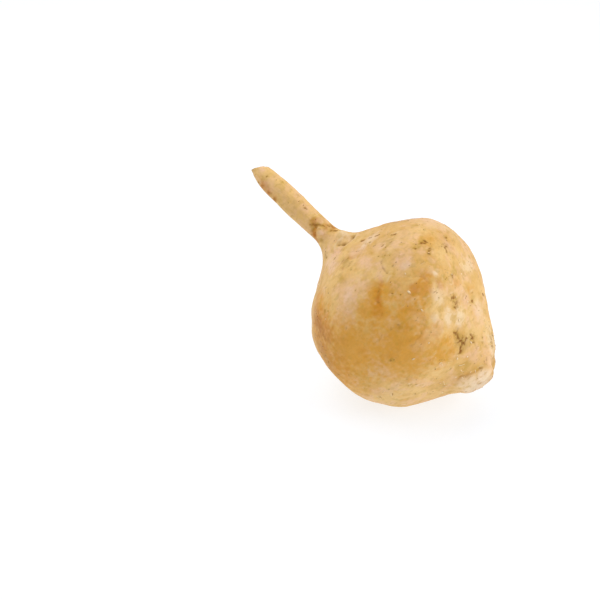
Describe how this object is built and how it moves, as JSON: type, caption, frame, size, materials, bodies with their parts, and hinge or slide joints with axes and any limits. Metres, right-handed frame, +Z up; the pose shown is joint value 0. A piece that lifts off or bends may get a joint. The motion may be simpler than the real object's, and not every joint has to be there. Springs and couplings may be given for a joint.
{
  "type": "jicama root",
  "caption": "Whole jicama (yam bean) root: a lobed, swollen tuber drawn out into a woody stalk, lying on a small flattened spot; fresh produce for kitchens, markets and still lifes.",
  "frame": {"origin": "middle of the flattened spot of the belly that the root lies on", "axes": "+Z up, stalk pointing up towards -X, root end down towards +X, front of the picture towards -Y"},
  "size_m": [0.1819, 0.1231, 0.135],
  "materials": {
    "root_skin": "thin dry skin, tan with paler and browner patches, satin to dull"
  },
  "bodies": {
    "root": {"root_with_stalk": "root_skin"}
  },
  "joints": []
}
